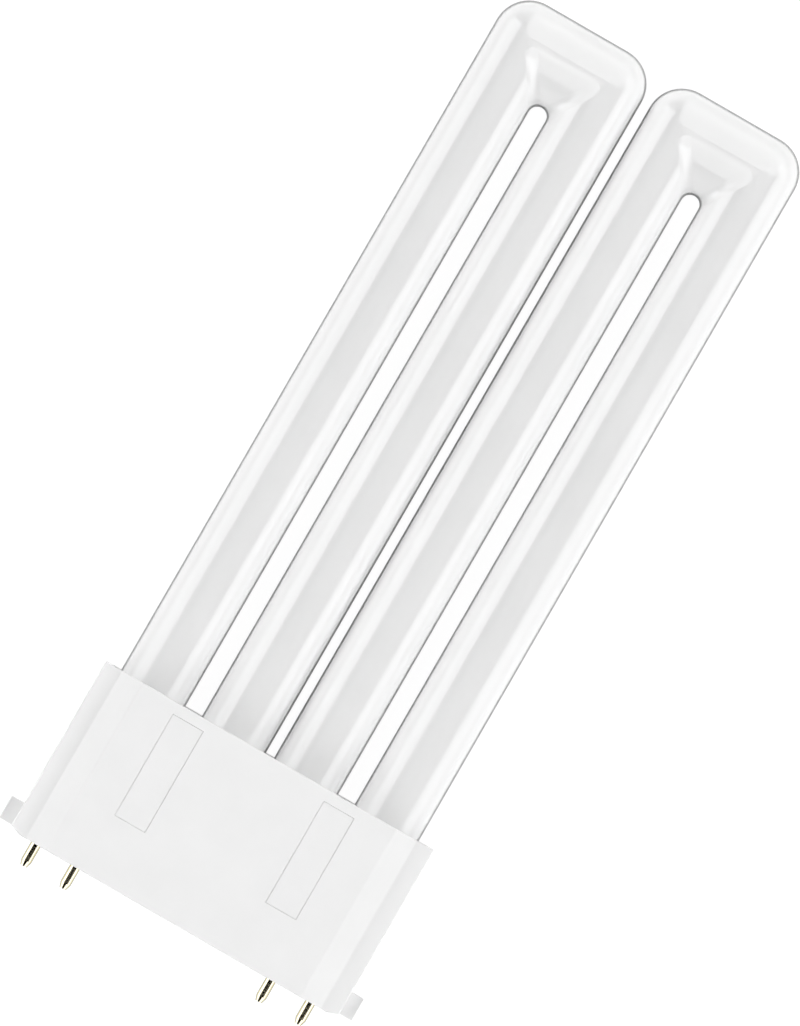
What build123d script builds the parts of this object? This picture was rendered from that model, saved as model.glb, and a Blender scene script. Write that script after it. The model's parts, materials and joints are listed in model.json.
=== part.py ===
"""LED plug-in lamp with two flat U-shaped diffuser tubes side by side on a four-pin base.

The lamp lies on its back. X runs across it, +Y from the pins towards the tube tops and +Z out of
its front. The origin is the middle of the base's end face, on the line of the pins. Millimetres.
"""

import math
import os

from build123d import *

# Overall sizes
LENGTH = 217.0  # end face of the base to the tops of the tubes, pins not counted
BASE_HEIGHT = 42.7

# Base housing, a thick middle part with a thinner wing on each side
BODY_OVERLAP = 1.8  # how far the outermost tubes reach into the wings
BODY_STEP = 3.28  # the middle part stands this far out of the wings, front and rear
WING_ROOM = 2.35  # outermost tube to the inside of a wing
WING_SQUEEZE = 0.9  # the wings are thinner inside than the tubes, by this much front and rear
FLANK_RUN = 5.3  # width of the slanted flanks between front face and wings
FLANK_ROUND = 1.0
WING_CORNER = 0.3
WING_ROOT_FILLET = 0.8
HOUSING_WALL = 1.8
END_WALL = 2.2
END_EDGE_ROUND = 0.2
TOP_EDGE_ROUND = 0.15
LUG_FOOT = 1.0  # end face to the lugs, and the rise of the wings' bevelled ends
LUG_HEIGHT = 5.5
LUG_REACH = 3.2
LUG_DEPTH = 6.0
LUG_EDGE_ROUND = 0.2

# Contact pins
PIN_DIAMETER = 2.4
PIN_LENGTH = 5.7  # outside the end face
PIN_PITCH = 10.0  # between the two pins of a pair
PAIR_PITCH = 60.0  # between the middles of the two pairs
PIN_TIP_LENGTH = 1.3
PIN_TIP_DIAMETER = 1.5
PIN_SHANK_DIAMETER = 3.0  # inside the end wall
PIN_COLLAR_DIAMETER = 3.8
PIN_COLLAR_THICKNESS = 0.8
PIN_TAIL_OVERLAP = 4.0  # length soldered flat on the driver board
PIN_BOSS_DIAMETER = 6.0
PIN_BOSS_HEIGHT = 1.6
PIN_FIT = 0.02

# Diffuser tubes
TUBE_DIAMETER = 15.64
TUBE_WALL = 1.4
SLOT_WIDTH = 4.93  # between the two legs of one U
TUBE_GAP = 2.78  # between the two U tubes
BRIDGE_RUN = 19.58  # end of the slot to the top of the U
MITRE_WEB_OVERLAP = 0.8  # how far the corner webs reach into leg and bridge
MITRE_WEB_BITE = 0.03  # their round ends this far inside the legs
TUBE_SEAT_DEPTH = 7.5  # how far the legs reach below the carrier's top

# LED board between the front and rear half of each tube
LED_BOARD_THICKNESS = 1.0
RIM_PROUD = 0.35  # the board's edge stands this far out of the tube
BOARD_INSET = 0.05
RIM_CLEARANCE = 0.2
TAIL_WIDTH = 8.0
LED_LENGTH = 3.5
LED_WIDTH = 2.8
LED_HEIGHT = 0.7
LED_PITCH = 9.0
LED_END_MARGIN = 6.0

# Tube carrier that closes the base
CARRIER_RECESS = 1.0
CARRIER_PLATE = 3.0
CARRIER_CLEARANCE = 0.15
SOCKET_CLEARANCE = 0.1
SOCKET_WALL = 1.4
SOCKET_LIP = 1.0
SOCKET_LIP_WIDTH = 1.9

# Snap pads that show in the windows of the front and rear face
PAD_WIDTH = 7.8
PAD_HEIGHT = 25.8
PAD_TOP_MARGIN = 2.6
PAD_SHIFT = 0.28  # from the middle of each U towards the lamp's middle
PAD_GAP = 0.02
PAD_RECESS = 0.12
PAD_EDGE_ROUND = 0.08
TONGUE_THICKNESS = 1.4
TONGUE_BORDER = 0.9

# Driver board and what stands on it
DRIVER_THICKNESS = 1.6
DRIVER_HEIGHT = 22.0
DRIVER_FOOT_GAP = 1.4  # end of the pin bosses to the board
DRIVER_SIDE_GAP = 0.4
LEDGE_GAP = 0.1

CONNECTOR_WALL = 1.0
CONNECTOR_HEIGHT = 3.4
CONNECTOR_DEPTH = 6.5
CONNECTOR_FLOOR = 1.4
CARD_CLEARANCE = 0.06
CARD_END_GAP = 0.6

CORE_WIDTH = 16.0
CORE_HEIGHT = 14.0
CORE_THICKNESS = 5.0
CORE_LEG = 2.5
CORE_CENTRE_LEG = 4.0
WINDING_BUILD = 2.0
WINDING_CLEARANCE = 0.1
CORE_GAP = 0.4  # to the LED connectors

BULK_DIAMETER = 8.0
BULK_LENGTH = 12.0
CAN_GROOVE_DEPTH = 0.35
CAN_GROOVE_FROM_END = 1.8
OUTPUT_DIAMETER = 6.3
OUTPUT_LENGTH = 8.0
FILM_SIZE = (11.0, 6.0, 8.0)
FILM_ROUND = 0.8
CHOKE_DIAMETER = 8.0
CHOKE_HEIGHT = 8.0
CHOKE_FLANGE = 1.2
CHOKE_WAIST = 1.0
RESISTOR_DIAMETER = 2.4
RESISTOR_LENGTH = 6.5
RESISTOR_WAIST = 0.3
PART_GAP = 1.6  # between neighbouring parts on the driver board
CHIP_BODY = (4.9, 3.9, 1.5)
RECTIFIER_BODY = (6.2, 4.4, 1.8)
CHIP_LEAD = (0.45, 1.0, 0.25)
CHIP_LEAD_PITCH = 1.27
CHIP_LEADS_A_SIDE = 4
RECTIFIER_LEAD = (0.9, 1.1, 0.3)
RECTIFIER_LEAD_PITCH = 3.2
RECTIFIER_LEADS_A_SIDE = 2

# Places worked out from the sizes above
TUBE_RADIUS = TUBE_DIAMETER / 2
LEG_PITCH = TUBE_DIAMETER + SLOT_WIDTH
TUBE_PITCH = LEG_PITCH + TUBE_DIAMETER + TUBE_GAP
TUBE_SPAN = TUBE_PITCH + LEG_PITCH + TUBE_DIAMETER
BODY_WIDTH = TUBE_SPAN + 2 * (HOUSING_WALL - BODY_OVERLAP)
WING_WIDTH = TUBE_SPAN + 2 * (HOUSING_WALL + WING_ROOM)
WING_DEPTH = TUBE_DIAMETER + 2 * (HOUSING_WALL - WING_SQUEEZE)
BASE_DEPTH = WING_DEPTH + 2 * BODY_STEP
LUG_SPAN = WING_WIDTH + 2 * LUG_REACH
LEDGE_ROOT_X = BODY_WIDTH / 2  # inner edge of the ledges in the wings
FLANK_ANGLE = math.atan2(BODY_STEP, FLANK_RUN)
PIN_RADIUS = PIN_DIAMETER / 2
SHELL_TOP = LENGTH - RIM_PROUD
CREST_Y = SHELL_TOP - TUBE_RADIUS  # ridge line of the bridge between the legs
SLOT_END_Y = SHELL_TOP - BRIDGE_RUN
CARRIER_TOP = BASE_HEIGHT - CARRIER_RECESS
CARRIER_BOTTOM = CARRIER_TOP - CARRIER_PLATE
TUBE_FOOT = CARRIER_TOP - TUBE_SEAT_DEPTH
DRIVER_FRONT_Z = -PIN_RADIUS  # the pins lie on the front of the driver board
DRIVER_REAR_Z = DRIVER_FRONT_Z - DRIVER_THICKNESS
DRIVER_FOOT = END_WALL + PIN_BOSS_HEIGHT + DRIVER_FOOT_GAP
DRIVER_TOP = DRIVER_FOOT + DRIVER_HEIGHT
PIN_TAIL_END = DRIVER_FOOT + PIN_TAIL_OVERLAP
PIN_XS = [side * PAIR_PITCH / 2 + half * PIN_PITCH / 2 for side in (-1, 1) for half in (-1, 1)]
SIDES = {"left": -1, "right": 1}
NEAR = 0.01  # places this close are the same


def near(a, b):
    """Whether two lengths are the same."""
    return abs(a - b) < NEAR


def prism_x(section, x0, x1):
    """A section drawn in Y and Z, drawn out along X."""
    return extrude(Plane.YZ.offset(x0) * section, x1 - x0)


def prism_y(section, y0, y1):
    """A section drawn in X and Z, drawn out along Y."""
    return extrude(Plane.XZ.offset(-y1) * section, y1 - y0)


def prism_z(section, z0, z1):
    """A section drawn in X and Y, drawn out along Z."""
    return extrude(Plane.XY.offset(z0) * section, z1 - z0)


def block(x0, x1, y0, y1, z0, z1):
    """A plain block between two corners."""
    return Pos((x0 + x1) / 2, (y0 + y1) / 2, (z0 + z1) / 2) * Box(x1 - x0, y1 - y0, z1 - z0)


def tube_middle(side):
    """X of the middle of one U tube."""
    return side * TUBE_PITCH / 2


# Diffuser tubes


def tube_envelope(inset):
    """The outside of one U tube about X = 0, or its inside when inset by the wall.

    Round legs meet a bridge whose outer half is round and whose inner half slopes more gently
    down to the slot, so that leg and bridge meet in a mitre line.
    """
    radius = TUBE_RADIUS - inset
    inner_run = BRIDGE_RUN - TUBE_RADIUS - inset
    half_pitch = LEG_PITCH / 2
    half_disc = Circle(radius) & Pos(radius / 2, 0) * Rectangle(radius, 2 * radius)
    inner_half = Ellipse(inner_run, radius) & Pos(-inner_run / 2, 0) * Rectangle(inner_run, 2 * radius)
    envelope = prism_x(Pos(CREST_Y, 0) * (half_disc + inner_half), -half_pitch, half_pitch)
    corner = revolve(Plane.XZ * half_disc, Axis.Z, 90)
    for side in SIDES.values():
        leg = prism_y(Pos(side * half_pitch, 0) * Circle(radius), TUBE_FOOT, CREST_Y)
        turn = Rotation(0, 0, 0 if side > 0 else 90)
        envelope += leg + Pos(side * half_pitch, CREST_Y, 0) * turn * corner
    return envelope


def mitre_web(side):
    """The web that rounds the front corner between one leg and the bridge, alike at every height.

    Its level section moves along the mitre line, from the end of the slot almost to the ridge.
    """
    half_slot = SLOT_WIDTH / 2
    size = half_slot + MITRE_WEB_OVERLAP
    foot = SLOT_END_Y - half_slot
    corner = Pos(side * size / 2, foot + size / 2) * Rectangle(size, size)
    round_end = Pos(side * MITRE_WEB_BITE, foot + MITRE_WEB_BITE) * Circle(half_slot)
    ridge = Vector(side * LEG_PITCH / 2, CREST_Y, 0)
    fall = Vector(-side * TUBE_RADIUS, TUBE_RADIUS - BRIDGE_RUN, 0)
    mitre = Plane(ridge, x_dir=fall, z_dir=fall.cross(Vector(0, 0, 1)))
    rise = math.degrees(math.acos(MITRE_WEB_OVERLAP / TUBE_RADIUS))
    path = mitre * EllipticalCenterArc((0, 0), fall.length, TUBE_RADIUS, 0, arc_size=rise)
    return sweep(corner - round_end, path=path, normal=(0, 0, 1))


def tube_halves(side):
    """The front diffuser and the rear shell of one U tube."""
    hollow = tube_envelope(0) - tube_envelope(TUBE_WALL)
    for corner in SIDES.values():
        web = mitre_web(corner)
        hollow += web + mirror(web, about=Plane.XY)
    half_board = LED_BOARD_THICKNESS / 2
    reach_x = LEG_PITCH / 2 + TUBE_DIAMETER
    front = hollow & block(-reach_x, reach_x, 0, 2 * LENGTH, half_board, TUBE_DIAMETER)
    rear = hollow & block(-reach_x, reach_x, 0, 2 * LENGTH, -TUBE_DIAMETER, -half_board)
    place = Pos(tube_middle(side), 0, 0)
    return place * front, place * rear


# LED boards


def u_outline(grow, foot):
    """The U seen from the front, with its edge moved out by grow and its legs ending at foot."""
    half_width = LEG_PITCH / 2 + TUBE_RADIUS + grow
    half_slot = LEG_PITCH / 2 - TUBE_RADIUS - grow
    top = SHELL_TOP + grow
    corner = TUBE_RADIUS + grow
    slot_end = SLOT_END_Y - grow
    outside = Pos(0, (top + foot - corner) / 2) * RectangleRounded(
        2 * half_width, top - foot + corner, corner
    )
    outside &= Pos(0, (top + foot) / 2) * Rectangle(2 * half_width, top - foot)
    slot = Pos(0, (slot_end - half_slot + foot) / 2) * Rectangle(2 * half_slot, slot_end - half_slot - foot)
    slot += Pos(0, slot_end - half_slot) * Circle(half_slot)
    return outside - slot


def led_board(side):
    """A U-shaped metal-core board with a proud rim and a tail that plugs into the driver board."""
    rim_foot = CARRIER_TOP + RIM_CLEARANCE
    tail_x = -side * LEG_PITCH / 2  # under the leg next to the lamp's middle
    tail_foot = DRIVER_TOP - CONNECTOR_DEPTH + CONNECTOR_FLOOR + CARD_END_GAP
    tail_top = rim_foot
    outline = u_outline(RIM_PROUD, rim_foot) + u_outline(-BOARD_INSET, TUBE_FOOT)
    outline += Pos(tail_x, (tail_foot + tail_top) / 2) * Rectangle(TAIL_WIDTH, tail_top - tail_foot)
    half = LED_BOARD_THICKNESS / 2
    return Pos(tube_middle(side), 0, 0) * prism_z(outline, -half, half)


def led_row(side):
    """The LED packages on the front of one board, up one leg, over the bridge and down the other."""
    first = BASE_HEIGHT + LED_END_MARGIN
    count = int((CREST_Y - first) // LED_PITCH) + 1
    spots = [(leg * LEG_PITCH / 2, first + i * LED_PITCH) for leg in (-1, 1) for i in range(count)]
    spots.append((0, CREST_Y))
    base_z = LED_BOARD_THICKNESS / 2 + LED_HEIGHT / 2
    package = Box(LED_WIDTH, LED_LENGTH, LED_HEIGHT)
    return [Pos(tube_middle(side) + x, y, base_z) * package for x, y in spots]


# Base housing


def base_section(inset):
    """Section across the base: a thick middle with slanted flanks and a thin wing on each side."""
    drift = inset * math.tan(FLANK_ANGLE / 2)
    front = (BODY_WIDTH / 2 - FLANK_RUN - drift, BASE_DEPTH / 2 - inset)
    root = (BODY_WIDTH / 2 - drift, WING_DEPTH / 2 - inset)
    tip = (WING_WIDTH / 2 - inset, WING_DEPTH / 2 - inset)
    right = [front, root, tip] + [(x, -y) for x, y in (tip, root, front)]
    left = [(-x, -y) for x, y in right]
    section = make_face(Polyline(*right, *left, close=True))
    for spot, radius in ((front, FLANK_ROUND), (root, WING_ROOT_FILLET), (tip, WING_CORNER)):
        at_spot = [v for v in section.vertices() if near(abs(v.X), spot[0]) and near(abs(v.Y), spot[1])]
        section = fillet(at_spot, radius)
    return section


def window_block(side, face, grow, inner, outer):
    """A block with the outline of one front or rear window, moved out all round by grow."""
    high = BASE_HEIGHT - PAD_TOP_MARGIN + grow
    low = BASE_HEIGHT - PAD_TOP_MARGIN - PAD_HEIGHT - grow
    half = PAD_WIDTH / 2 + grow
    middle = side * (TUBE_PITCH / 2 - PAD_SHIFT)
    z0, z1 = sorted((face * inner, face * outer))
    return block(middle - half, middle + half, low, high, z0, z1)


def base_envelope():
    """The outside of the base, with rounded end edges and the wings bevelled at the end face."""
    crease = BODY_WIDTH / 2 + 2 * WING_ROOT_FILLET
    wing = WING_WIDTH / 2
    envelope = prism_y(base_section(0), 0, BASE_HEIGHT)
    for side in SIDES.values():
        corner = Polyline((side * crease, 0), (side * wing, LUG_FOOT), (side * wing, 0), close=True)
        envelope -= prism_z(make_face(corner), -WING_DEPTH / 2, WING_DEPTH / 2)
    low = [e for e in envelope.edges() if e.bounding_box().max.Y < LUG_FOOT + NEAR]
    rims = [e for e in low if not near(abs(e.center().X), crease)]
    envelope = fillet(rims, END_EDGE_ROUND)
    return fillet(envelope.edges().group_by(Axis.Y)[-1], TOP_EDGE_ROUND)


def holding_lug(side):
    """The block on the side of one wing that the holder's spring catches."""
    tip = side * LUG_SPAN / 2
    x0, x1 = sorted((side * (WING_WIDTH / 2 - HOUSING_WALL), tip))
    lug = block(x0, x1, LUG_FOOT, LUG_FOOT + LUG_HEIGHT, -LUG_DEPTH / 2, LUG_DEPTH / 2)
    return fillet([e for e in lug.edges() if near(e.center().X, tip)], LUG_EDGE_ROUND)


def base_housing():
    """The moulded cup with its wings, lugs, windows, pin bosses and board ledges."""
    shell = base_envelope()
    for side in SIDES.values():
        shell += holding_lug(side)
    shell -= prism_y(base_section(HOUSING_WALL), END_WALL, BASE_HEIGHT)
    for side in SIDES.values():
        x0, x1 = sorted((side * LEDGE_ROOT_X, side * (WING_WIDTH / 2 - HOUSING_WALL)))
        wing_floor = -WING_DEPTH / 2 + HOUSING_WALL / 2
        shell += block(x0, x1, END_WALL, DRIVER_TOP, wing_floor, DRIVER_REAR_Z - LEDGE_GAP)
        for face in (-1, 1):
            shell -= window_block(side, face, 0, BASE_DEPTH / 2 - HOUSING_WALL, BASE_DEPTH / 2)
    for x in PIN_XS:
        boss = Pos(x, 0) * Circle(PIN_BOSS_DIAMETER / 2)
        shell += prism_y(boss, END_WALL / 2, END_WALL + PIN_BOSS_HEIGHT)
    for x in PIN_XS:
        hole = Pos(x, 0) * Circle(PIN_SHANK_DIAMETER / 2 + PIN_FIT)
        shell -= prism_y(hole, 0, END_WALL + PIN_BOSS_HEIGHT)
    return shell


def snap_tongue(side, face):
    """A springy tongue below the carrier's top plate, with the pad that fills one window."""
    outer = BASE_DEPTH / 2 - HOUSING_WALL - CARRIER_CLEARANCE
    inner = outer - TONGUE_THICKNESS
    tongue = window_block(side, face, TONGUE_BORDER, inner, outer)
    pad_face = BASE_DEPTH / 2 - PAD_RECESS
    pad = window_block(side, face, -PAD_GAP, inner, pad_face)
    rims = [e for e in pad.edges() if near(e.center().Z, face * pad_face)]
    return tongue + fillet(rims, PAD_EDGE_ROUND)


def tube_carrier():
    """The inner frame that closes the base, holds the tube ends and snaps into the windows."""
    outline = base_section(HOUSING_WALL + CARRIER_CLEARANCE)
    carrier = prism_y(outline, CARRIER_BOTTOM, CARRIER_TOP)
    bore = TUBE_RADIUS + SOCKET_CLEARANCE
    leg_xs = [tube_middle(s) + leg * LEG_PITCH / 2 for s in SIDES.values() for leg in (-1, 1)]
    socket_foot = TUBE_FOOT - SOCKET_LIP
    for x in leg_xs:
        socket = outline & Pos(x, 0) * Circle(bore + SOCKET_WALL)
        carrier += prism_y(socket, socket_foot, CARRIER_BOTTOM)
    for side in SIDES.values():
        for face in (-1, 1):
            carrier += snap_tongue(side, face)
    for x in leg_xs:
        carrier -= prism_y(Pos(x, 0) * Circle(bore), TUBE_FOOT, CARRIER_TOP)
        carrier -= prism_y(Pos(x, 0) * Circle(bore - SOCKET_LIP_WIDTH), socket_foot, TUBE_FOOT)
    return carrier


def contact_pin(x):
    """A turned pin: tapered tip, thicker shank in the end wall, collar, tail on the driver board."""
    boss_top = END_WALL + PIN_BOSS_HEIGHT
    tip = PIN_TIP_DIAMETER / 2
    shank = PIN_SHANK_DIAMETER / 2
    collar = PIN_COLLAR_DIAMETER / 2
    profile = Polyline(
        (0, -PIN_LENGTH),
        (tip, -PIN_LENGTH),
        (PIN_RADIUS, -PIN_LENGTH + PIN_TIP_LENGTH),
        (PIN_RADIUS, 0),
        (shank, 0),
        (shank, boss_top),
        (collar, boss_top),
        (collar, boss_top + PIN_COLLAR_THICKNESS),
        (PIN_RADIUS, boss_top + PIN_COLLAR_THICKNESS),
        (PIN_RADIUS, PIN_TAIL_END),
        (0, PIN_TAIL_END),
        close=True,
    )
    return Pos(x, 0, 0) * revolve(make_face(profile), Axis.Y)


# Driver board and its parts


def driver_board():
    """The printed board that stands behind the pins, its edges in the wings of the housing."""
    half_width = WING_WIDTH / 2 - HOUSING_WALL - DRIVER_SIDE_GAP
    return block(-half_width, half_width, DRIVER_FOOT, DRIVER_TOP, DRIVER_REAR_Z, DRIVER_FRONT_Z)


def led_connector(side):
    """A card-edge socket on the driver board that takes the tail of one LED board."""
    x = tube_middle(side) - side * LEG_PITCH / 2
    half = TAIL_WIDTH / 2 + CONNECTOR_WALL
    foot = DRIVER_TOP - CONNECTOR_DEPTH
    body = block(x - half, x + half, foot, DRIVER_TOP, DRIVER_FRONT_Z, DRIVER_FRONT_Z + CONNECTOR_HEIGHT)
    slot_half = LED_BOARD_THICKNESS / 2 + CARD_CLEARANCE
    card_half = TAIL_WIDTH / 2 + CARD_CLEARANCE
    slot = block(x - card_half, x + card_half, foot + CONNECTOR_FLOOR, DRIVER_TOP, -slot_half, slot_half)
    return body - slot


def transformer():
    """A flat ferrite core with two windows, and the winding round its centre leg."""
    winding_z = CORE_THICKNESS + 2 * (WINDING_BUILD + WINDING_CLEARANCE)
    top = DRIVER_TOP - CONNECTOR_DEPTH - CORE_GAP
    middle = Pos(0, top - CORE_HEIGHT / 2, DRIVER_FRONT_Z + winding_z / 2)
    window_height = (CORE_HEIGHT - 2 * CORE_LEG - CORE_CENTRE_LEG) / 2
    window_width = CORE_WIDTH - 2 * CORE_LEG
    window_y = (CORE_CENTRE_LEG + window_height) / 2
    core = Box(CORE_WIDTH, CORE_HEIGHT, CORE_THICKNESS)
    for end in (-1, 1):
        core -= Pos(0, end * window_y, 0) * Box(window_width, window_height, CORE_THICKNESS)
    bore_y = CORE_CENTRE_LEG + 2 * WINDING_CLEARANCE
    bore_z = CORE_THICKNESS + 2 * WINDING_CLEARANCE
    winding_y = CORE_CENTRE_LEG + 2 * (window_height - WINDING_CLEARANCE)
    length = window_width - 2 * WINDING_CLEARANCE
    winding = Box(length, winding_y, winding_z)
    winding = fillet(winding.edges().filter_by(Axis.X), WINDING_BUILD / 2)
    winding -= Box(length, bore_y, bore_z)
    return middle * core, middle * winding


def can(diameter, length):
    """An upright capacitor can with a rolled groove near its foot."""
    radius = diameter / 2
    groove = Pos(0, 0, CAN_GROOVE_FROM_END) * Torus(radius, CAN_GROOVE_DEPTH)
    body = Pos(0, 0, length / 2) * Cylinder(radius, length)
    body = fillet(body.edges(), CAN_GROOVE_DEPTH)
    return body - groove


def bulk_capacitor():
    """The big can, lying on the board beside the transformer."""
    radius = BULK_DIAMETER / 2
    place = Pos(CORE_WIDTH / 2 + PART_GAP, DRIVER_FOOT + PART_GAP + radius, DRIVER_FRONT_Z + radius)
    return place * Rotation(0, 90, 0) * can(BULK_DIAMETER, BULK_LENGTH)


def output_capacitor():
    """The small can, standing above the right pair of pins."""
    y = resistor_top() + PART_GAP + OUTPUT_DIAMETER / 2
    return Pos(PAIR_PITCH / 2, y, DRIVER_FRONT_Z) * can(OUTPUT_DIAMETER, OUTPUT_LENGTH)


def film_capacitor():
    """The boxed film capacitor on the other side of the transformer."""
    width, height, depth = FILM_SIZE
    x = -CORE_WIDTH / 2 - PART_GAP - width / 2
    y = DRIVER_FOOT + PART_GAP + height / 2
    box = Box(width, height, depth)
    box = fillet(box.edges().filter_by(Axis.Z) + box.edges().group_by(Axis.Z)[-1], FILM_ROUND)
    return Pos(x, y, DRIVER_FRONT_Z + depth / 2) * box


def filter_choke():
    """The wound drum choke above the left pair of pins."""
    radius = CHOKE_DIAMETER / 2
    drum = Pos(0, 0, CHOKE_HEIGHT / 2) * Cylinder(radius, CHOKE_HEIGHT)
    low, high = CHOKE_FLANGE, CHOKE_HEIGHT - CHOKE_FLANGE
    groove = Pos(0, 0, (low + high) / 2) * Cylinder(radius, high - low)
    groove -= Pos(0, 0, (low + high) / 2) * Cylinder(radius - CHOKE_WAIST, high - low)
    y = resistor_top() + PART_GAP + radius
    return Pos(-PAIR_PITCH / 2, y, DRIVER_FRONT_Z) * (drum - groove)


def resistor_top():
    """Y of the upper ends of the fusible resistors."""
    return PIN_TAIL_END + PART_GAP / 2 + RESISTOR_LENGTH


def fusible_resistors():
    """One small resistor on the board above each pin."""
    radius = RESISTOR_DIAMETER / 2
    waist = radius - RESISTOR_WAIST
    end = RESISTOR_LENGTH / 4
    profile = Polyline(
        (0, 0),
        (radius, 0),
        (radius, end),
        (waist, end),
        (waist, RESISTOR_LENGTH - end),
        (radius, RESISTOR_LENGTH - end),
        (radius, RESISTOR_LENGTH),
        (0, RESISTOR_LENGTH),
        close=True,
    )
    body = revolve(make_face(profile), Axis.Y)
    foot = resistor_top() - RESISTOR_LENGTH
    return [Pos(x, foot, DRIVER_FRONT_Z + radius) * body for x in PIN_XS]


def leaded_chip(body_size, lead_size, pitch, leads_a_side):
    """A flat chip body with leads along its two long sides, its mounting face at Z = 0."""
    width, height, depth = body_size
    lead_width, lead_length, lead_depth = lead_size
    chip = Pos(0, 0, -depth / 2) * Box(width, height, depth)
    for end in (-1, 1):
        for i in range(leads_a_side):
            x = (i - (leads_a_side - 1) / 2) * pitch
            y = end * height / 2
            chip += Pos(x, y, -lead_depth / 2) * Box(lead_width, 2 * lead_length, lead_depth)
    return chip


def driver_chip():
    """The controller on the rear of the board, behind the transformer."""
    y = (DRIVER_FOOT + DRIVER_TOP) / 2
    chip = leaded_chip(CHIP_BODY, CHIP_LEAD, CHIP_LEAD_PITCH, CHIP_LEADS_A_SIDE)
    return Pos(0, y, DRIVER_REAR_Z) * chip


def bridge_rectifier():
    """The mains rectifier on the rear of the board, beside the left board ledge."""
    x = -(LEDGE_ROOT_X - PART_GAP - RECTIFIER_BODY[0] / 2)
    y = (DRIVER_FOOT + DRIVER_TOP) / 2
    chip = leaded_chip(RECTIFIER_BODY, RECTIFIER_LEAD, RECTIFIER_LEAD_PITCH, RECTIFIER_LEADS_A_SIDE)
    return Pos(x, y, DRIVER_REAR_Z) * chip


def all_nodes():
    """Every named piece of the lamp."""
    nodes = {"base_housing": base_housing(), "tube_carrier": tube_carrier()}
    for number, x in enumerate(PIN_XS, 1):
        nodes[f"contact_pin_{number}"] = contact_pin(x)
    for name, side in SIDES.items():
        front, rear = tube_halves(side)
        nodes[f"front_diffuser_{name}"] = front
        nodes[f"rear_shell_{name}"] = rear
        nodes[f"led_board_{name}"] = led_board(side)
        nodes[f"leds_{name}"] = Compound(children=led_row(side))
        nodes[f"led_connector_{name}"] = led_connector(side)
    core, winding = transformer()
    nodes["driver_board"] = driver_board()
    nodes["transformer_core"] = core
    nodes["transformer_winding"] = winding
    nodes["bulk_capacitor"] = bulk_capacitor()
    nodes["output_capacitor"] = output_capacitor()
    nodes["film_capacitor"] = film_capacitor()
    nodes["filter_choke"] = filter_choke()
    nodes["fusible_resistors"] = Compound(children=fusible_resistors())
    nodes["driver_chip"] = driver_chip()
    nodes["bridge_rectifier"] = bridge_rectifier()
    return nodes


os.makedirs("parts", exist_ok=True)
for node, shape in all_nodes().items():
    export_step(shape, f"parts/{node}.step")
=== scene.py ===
"""Looks of an LED plug-in lamp: the finish of every piece, a white floor, softboxes and the camera."""

import json
import math

import bpy
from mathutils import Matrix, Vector


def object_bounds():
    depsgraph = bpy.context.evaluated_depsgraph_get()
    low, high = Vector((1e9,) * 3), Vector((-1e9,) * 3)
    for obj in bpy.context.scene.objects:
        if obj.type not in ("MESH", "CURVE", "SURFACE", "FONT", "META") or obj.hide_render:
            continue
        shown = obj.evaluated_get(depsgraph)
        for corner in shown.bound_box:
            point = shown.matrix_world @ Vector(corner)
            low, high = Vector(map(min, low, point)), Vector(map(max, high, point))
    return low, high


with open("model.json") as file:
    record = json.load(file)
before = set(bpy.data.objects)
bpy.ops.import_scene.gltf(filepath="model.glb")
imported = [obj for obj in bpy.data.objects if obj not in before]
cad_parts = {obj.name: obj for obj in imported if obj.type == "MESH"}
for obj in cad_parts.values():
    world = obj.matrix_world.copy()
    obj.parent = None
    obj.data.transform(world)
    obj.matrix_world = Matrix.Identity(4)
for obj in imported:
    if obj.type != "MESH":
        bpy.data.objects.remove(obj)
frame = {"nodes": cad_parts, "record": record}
cad_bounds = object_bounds()

# Lengths are in metres, unless a name says otherwise.

# Camera, straight above the lamp, which lies turned in the picture
PHOTO_HEIGHT_PX = 1026  # the picture's longer side, which the sensor's width spans
PIXELS_PER_METRE = 4523.5  # at the lamp's mid-plane
CAMERA_DISTANCE = 5.0
CAMERA_AIM = (-0.0019, 0.1035)  # x and y of the lamp under the middle of the picture
CAMERA_ROLL = math.radians(30)
SENSOR_MM = 36.0

# Stage
FLOOR_RADIUS = 12.0
FLOOR_SIDES = 96
FLOOR_GLOW = 0.88  # seen by the camera and in reflections
FLOOR_SHADE = 0.22  # the part of the floor's white that takes the shadow
FLOOR_BOUNCE = 0.78  # what the lamp gets back from the floor
SKY_GREY = 0.36  # near the horizon
SKY_FADE = (0.35, 0.75)  # sines of the elevations at which the grey starts to fade and is black

# Softboxes, each towards x, y and over the elevations from low to high, in degrees. A box that isn't
# BOX_LENGTH long has its own length, and one that isn't centred on its direction has a shift, clockwise
# round the lamp as seen from above.
BOX_DISTANCE = 6.0
BOX_LENGTH = 12.0
BOX_AIM_Y = 0.11
WATTS_PER_RADIANCE = 4.0  # power of one square metre of area light that shows a radiance of 1
DIAGONAL = 0.707
LEFT = (-1.0, 0.0)
RIGHT = (1.0, 0.0)
TUBE_END = (0.0, 1.0)
PIN_END = (0.0, -1.0)
PIN_LEFT = (-DIAGONAL, -DIAGONAL)
PIN_RIGHT = (DIAGONAL, -DIAGONAL)

# Strips, which only gloss shows: the light sides of the legs, the two halves of each bend, the streaks in
# its inner corners and the light line along its ridge
STRIPS = {
    "strip_left": dict(toward=LEFT, low=1.0, high=47.0, radiance=1.58, length=11.0, shift=-2.5),
    "strip_right": dict(toward=RIGHT, low=1.0, high=38.0, radiance=1.35),
    "strip_tube_end": dict(toward=TUBE_END, low=1.0, high=86.0, radiance=1.10, length=9.0, shift=2.0),
    "strip_pin_end": dict(toward=PIN_END, low=54.0, high=80.0, radiance=0.90),
    "strip_valley_left": dict(toward=PIN_RIGHT, low=31.0, high=74.0, radiance=1.35, length=2.2),
    "strip_valley_right": dict(toward=PIN_LEFT, low=38.0, high=65.0, radiance=0.70, length=1.0),
    "strip_ridge": dict(toward=PIN_END, low=80.0, high=87.0, radiance=1.50),
}

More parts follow.
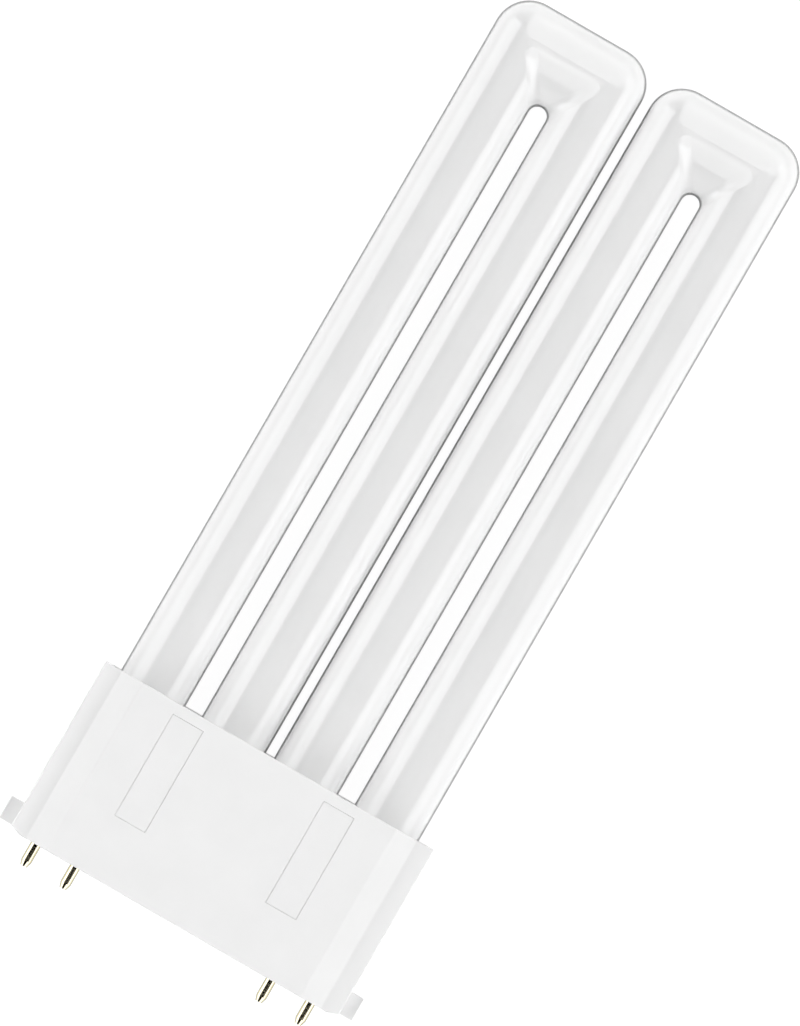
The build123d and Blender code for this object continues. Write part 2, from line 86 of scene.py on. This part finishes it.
# Fills, which gloss doesn't show
FILLS = {
    "fill_left": dict(toward=LEFT, low=19.0, high=48.0, radiance=2.32),
    "fill_right": dict(toward=RIGHT, low=19.0, high=48.0, radiance=2.62),
    "fill_tube_end": dict(toward=TUBE_END, low=2.0, high=28.0, radiance=1.35),
    "fill_pin_end": dict(toward=PIN_END, low=8.0, high=36.0, radiance=1.00),
}

# Finishes. The mottle is how far a small part's colour drifts to both sides of its mean, as a share of it.
NOISE_SPAN = (0.3, 0.7)  # where most values of a noise texture lie
SMALL_PART_DETAIL = 3.0
SMALL_PART_GLOSS_DRIFT = 0.15  # share of the mean roughness
SMALL_PARTS = {
    "led_phosphor": dict(color=(0.85, 0.66, 0.14), roughness=0.3, scale=1500.0, mottle=0.12),
    "connector_plastic": dict(color=(0.72, 0.70, 0.62), roughness=0.45, scale=800.0, mottle=0.04),
    "ferrite": dict(color=(0.03, 0.03, 0.033), roughness=0.6, scale=2500.0, mottle=0.3),
    "winding_tape": dict(color=(0.62, 0.38, 0.03), roughness=0.35, scale=600.0, mottle=0.12),
    "capacitor_sleeve": dict(color=(0.018, 0.018, 0.024), roughness=0.28, scale=700.0, mottle=0.25),
    "film_box": dict(color=(0.45, 0.04, 0.025), roughness=0.3, scale=900.0, mottle=0.12),
    "resistor_lacquer": dict(color=(0.06, 0.16, 0.22), roughness=0.4, scale=1500.0, mottle=0.2),
    "chip_resin": dict(color=(0.012, 0.012, 0.014), roughness=0.55, scale=3000.0, mottle=0.3),
}


# Node helpers, where the owner of the nodes is a material or the world


def add_node(owner, kind, **values):
    """A new node with its inputs set by name."""
    node = owner.node_tree.nodes.new(kind)
    for key, value in values.items():
        node.inputs[key.replace("_", " ")].default_value = value
    return node


def link(owner, source, target):
    """Joins an output to an input."""
    owner.node_tree.links.new(source, target)


def new_material(name, color, roughness, metallic=0.0, specular=0.5):
    """A material with one principled shader at its mean finish. Returns the material and the shader."""
    material = bpy.data.materials.new(name)
    material.use_nodes = True
    shader = material.node_tree.nodes["Principled BSDF"]
    shader.inputs["Base Color"].default_value = (*color, 1.0)
    shader.inputs["Roughness"].default_value = roughness
    shader.inputs["Metallic"].default_value = metallic
    shader.inputs["Specular IOR Level"].default_value = specular
    return material, shader


def noise(material, scale, detail, stretch=(1.0, 1.0, 1.0)):
    """Noise in the lamp's own coordinates, so scale counts features along one metre."""
    coords = add_node(material, "ShaderNodeTexCoord")
    mapping = add_node(material, "ShaderNodeMapping", Scale=stretch)
    texture = add_node(material, "ShaderNodeTexNoise", Scale=scale, Detail=detail)
    link(material, coords.outputs["Object"], mapping.inputs["Vector"])
    link(material, mapping.outputs["Vector"], texture.inputs["Vector"])
    return texture.outputs["Fac"]


def vary_color(material, shader, factor, dark, light):
    """Base colour that drifts between two multiples of its mean."""
    mean = shader.inputs["Base Color"].default_value[:3]
    ramp = add_node(material, "ShaderNodeValToRGB")
    for stop, position, multiple in zip(ramp.color_ramp.elements, NOISE_SPAN, (dark, light)):
        stop.position = position
        stop.color = (*(channel * multiple for channel in mean), 1.0)
    link(material, factor, ramp.inputs["Fac"])
    link(material, ramp.outputs["Color"], shader.inputs["Base Color"])


def vary_roughness(material, shader, factor, drift):
    """Roughness that drifts to both sides of its mean."""
    mean = shader.inputs["Roughness"].default_value
    low, high = NOISE_SPAN
    spread = add_node(material, "ShaderNodeMapRange", From_Min=low, From_Max=high)
    spread.inputs["To Min"].default_value = mean - drift
    spread.inputs["To Max"].default_value = mean + drift
    link(material, factor, spread.inputs["Value"])
    link(material, spread.outputs["Result"], shader.inputs["Roughness"])


def add_bump(material, shader, factor, depth):
    """Surface relief of the given depth."""
    bump = add_node(material, "ShaderNodeBump", Strength=1.0, Distance=depth)
    link(material, factor, bump.inputs["Height"])
    link(material, bump.outputs["Normal"], shader.inputs["Normal"])


# Materials


def opal_diffuser():
    """Semi-gloss opal plastic: faint milky clouds and a slightly uneven gloss."""
    color = (0.831, 0.831, 0.831)
    material, shader = new_material("opal_diffuser", color, roughness=0.12, specular=1.0)
    clouds = noise(material, scale=60.0, detail=3.0)
    gloss = noise(material, scale=180.0, detail=2.0)
    ripple = noise(material, scale=900.0, detail=1.0)
    vary_color(material, shader, clouds, dark=0.985, light=1.01)
    vary_roughness(material, shader, gloss, drift=0.02)
    add_bump(material, shader, ripple, depth=4e-6)
    return material


def base_plastic():
    """White moulded plastic with a fine spark-eroded grain."""
    color = (0.815, 0.815, 0.815)
    material, shader = new_material("base_plastic", color, roughness=0.41, specular=0.6)
    clouds = noise(material, scale=90.0, detail=4.0)
    gloss = noise(material, scale=400.0, detail=2.0)
    grain = noise(material, scale=5200.0, detail=2.0)
    vary_color(material, shader, clouds, dark=0.985, light=1.012)
    vary_roughness(material, shader, gloss, drift=0.05)
    add_bump(material, shader, grain, depth=9e-6)
    return material


def board_metal():
    """The matt grey sheet metal of the LED boards, with a grain along the lamp."""
    color = (0.50, 0.50, 0.505)
    material, shader = new_material("board_metal", color, roughness=0.5, specular=0.2)
    grain = noise(material, scale=700.0, detail=3.0, stretch=(6.0, 1.0, 6.0))
    vary_color(material, shader, grain, dark=0.88, light=1.12)
    vary_roughness(material, shader, grain, drift=0.08)
    return material


def contact_brass():
    """Polished pale brass with its reflection painted dark at the edges, with fine turning marks and a
    little tarnish.
    """
    color = (0.86, 0.80, 0.58)
    # Painted shade: a near-black edge tint darkens the brass's reflection at grazing angles, in place of
    # dark surroundings.
    painted_edge_shade = (0.06, 0.05, 0.03)
    material, shader = new_material("contact_brass", color, roughness=0.045, metallic=1.0)
    shader.inputs["Specular Tint"].default_value = (*painted_edge_shade, 1.0)
    tarnish = noise(material, scale=500.0, detail=3.0)
    turning = noise(material, scale=900.0, detail=2.0, stretch=(0.2, 8.0, 0.2))
    vary_color(material, shader, tarnish, dark=0.85, light=1.0)
    vary_roughness(material, shader, turning, drift=0.015)
    add_bump(material, shader, turning, depth=1.5e-7)
    return material


def circuit_laminate():
    """Solder-resist green over a faint glass weave."""
    color = (0.03, 0.12, 0.05)
    material, shader = new_material("circuit_laminate", color, roughness=0.35)
    clouds = noise(material, scale=300.0, detail=2.0)
    weave = noise(material, scale=1500.0, detail=1.0, stretch=(1.0, 4.0, 1.0))
    vary_color(material, shader, clouds, dark=0.8, light=1.3)
    vary_roughness(material, shader, weave, drift=0.07)
    add_bump(material, shader, weave, depth=6e-6)
    return material


def small_part(name, color, roughness, scale, mottle):
    """A small inner part's finish: one colour with some mottling in tone and gloss."""
    material, shader = new_material(name, color, roughness)
    factor = noise(material, scale, SMALL_PART_DETAIL)
    vary_color(material, shader, factor, dark=1.0 - mottle, light=1.0 + mottle)
    vary_roughness(material, shader, factor, drift=SMALL_PART_GLOSS_DRIFT * roughness)
    return material


def make_materials():
    """One material for each slot of the record."""
    return {
        "opal_diffuser": opal_diffuser(),
        "base_plastic": base_plastic(),
        "board_metal": board_metal(),
        "contact_brass": contact_brass(),
        "circuit_laminate": circuit_laminate(),
        **{slot: small_part(slot, **finish) for slot, finish in SMALL_PARTS.items()},
    }


def dress_nodes():
    """Gives every CAD piece the material of its slot."""
    materials = make_materials()
    for subpart in frame["record"]["subparts"]:
        mesh = frame["nodes"][subpart["node"]].data
        mesh.materials.clear()
        mesh.materials.append(materials[subpart["material_slot"]])


# Stage, lights and camera


def floor_material():
    """White to the camera and in reflections, with a soft shadow, and a plain white bounce to the lamp."""
    material = bpy.data.materials.new("stage_floor")
    material.use_nodes = True
    material.node_tree.nodes.clear()
    path = add_node(material, "ShaderNodeLightPath")
    seen = path.outputs["Is Camera Ray"]
    for ray in ("Is Glossy Ray", "Is Transmission Ray"):
        either = add_node(material, "ShaderNodeMath")
        either.operation = "MAXIMUM"
        link(material, seen, either.inputs[0])
        link(material, path.outputs[ray], either.inputs[1])
        seen = either.outputs["Value"]
    glow = add_node(material, "ShaderNodeEmission", Strength=FLOOR_GLOW)
    shade = add_node(material, "ShaderNodeBsdfDiffuse", Color=(FLOOR_SHADE, FLOOR_SHADE, FLOOR_SHADE, 1.0))
    white = add_node(material, "ShaderNodeAddShader")
    bounce = add_node(material, "ShaderNodeEmission", Strength=FLOOR_BOUNCE)
    mix = add_node(material, "ShaderNodeMixShader")
    output = add_node(material, "ShaderNodeOutputMaterial")
    link(material, glow.outputs["Emission"], white.inputs[0])
    link(material, shade.outputs["BSDF"], white.inputs[1])
    link(material, seen, mix.inputs["Fac"])
    link(material, bounce.outputs["Emission"], mix.inputs[1])
    link(material, white.outputs["Shader"], mix.inputs[2])
    link(material, mix.outputs["Shader"], output.inputs["Surface"])
    return material


def add_floor():
    """A round white floor that the base's rear face lies on."""
    bpy.ops.mesh.primitive_circle_add(vertices=FLOOR_SIDES, radius=FLOOR_RADIUS, fill_type="NGON")
    floor = bpy.context.object
    floor.name = "stage_floor"
    floor.location.z = cad_bounds[0][2]
    floor.data.materials.append(floor_material())


def add_softbox(name, toward, low, high, radiance, length=BOX_LENGTH, shift=0.0):
    """An area light on one side of the lamp, unseen by the camera."""
    middle = math.radians((low + high) / 2)
    half = math.radians((high - low) / 2)
    height = 2 * BOX_DISTANCE * math.tan(half)
    data = bpy.data.lights.new(name, "AREA")
    data.shape = "RECTANGLE"
    data.size = length
    data.size_y = height
    data.energy = WATTS_PER_RADIANCE * radiance * length * height
    light = bpy.data.objects.new(name, data)
    bpy.context.scene.collection.objects.link(light)
    aim = Vector((0.0, BOX_AIM_Y, 0.0))
    flat = math.cos(middle)
    offset = Vector((toward[0] * flat, toward[1] * flat, math.sin(middle))) * BOX_DISTANCE
    along = Vector((toward[1], -toward[0], 0.0))
    light.location = aim + offset + along * shift
    light.rotation_euler = (-offset).to_track_quat("-Z", "Y").to_euler()
    light.visible_camera = False
    return light


def add_lights():
    """All strips and fills."""
    for name, values in STRIPS.items():
        add_softbox(name, **values).visible_diffuse = False
    for name, values in FILLS.items():
        add_softbox(name, **values).visible_glossy = False


def add_world():
    """A grey sky that fades to black upwards."""
    world = bpy.data.worlds.new("studio")
    world.use_nodes = True
    coords = add_node(world, "ShaderNodeTexCoord")
    split = add_node(world, "ShaderNodeSeparateXYZ")
    ramp = add_node(world, "ShaderNodeValToRGB")
    for stop, position, grey in zip(ramp.color_ramp.elements, SKY_FADE, (SKY_GREY, 0.0)):
        stop.position = position
        stop.color = (grey, grey, grey, 1.0)
    link(world, coords.outputs["Generated"], split.inputs["Vector"])
    link(world, split.outputs["Z"], ramp.inputs["Fac"])
    link(world, ramp.outputs["Color"], world.node_tree.nodes["Background"].inputs["Color"])
    bpy.context.scene.world = world


def add_camera():
    """A camera that looks straight down, with a long lens."""
    data = bpy.data.cameras.new("camera")
    data.sensor_width = SENSOR_MM
    data.lens = SENSOR_MM * PIXELS_PER_METRE * CAMERA_DISTANCE / PHOTO_HEIGHT_PX
    camera = bpy.data.objects.new("camera", data)
    bpy.context.scene.collection.objects.link(camera)
    camera.location = (*CAMERA_AIM, CAMERA_DISTANCE)
    camera.rotation_euler = (0.0, 0.0, CAMERA_ROLL)
    bpy.context.scene.camera = camera


dress_nodes()
add_floor()
add_lights()
add_world()
add_camera()
bpy.context.scene.view_settings.view_transform = "Standard"
